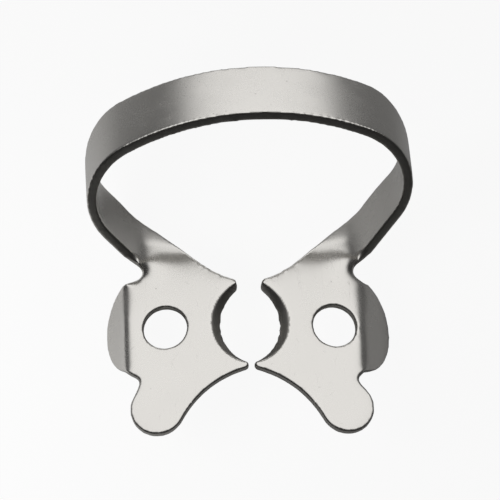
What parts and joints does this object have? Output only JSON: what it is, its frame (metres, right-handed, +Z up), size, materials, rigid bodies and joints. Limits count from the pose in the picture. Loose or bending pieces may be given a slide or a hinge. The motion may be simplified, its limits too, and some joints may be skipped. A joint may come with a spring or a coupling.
{
  "type": "rubber dam clamp",
  "caption": "Winged dental dam clamp stamped and folded from spring steel sheet: pronged jaws with forceps holes, down-turned wings and a bow leaning back over the tooth.",
  "frame": {"origin": "middle of the footprint on the table the clamp rests on, wings and heels down", "axes": "+X to the right seen from above with the bow at the back, +Y from the jaws towards the bow, +Z up"},
  "size_m": [0.0228, 0.0252, 0.0134],
  "materials": {
    "steel": "satin, polished by tumbling"
  },
  "bodies": {
    "root": {"clamp": "steel"}
  },
  "joints": []
}
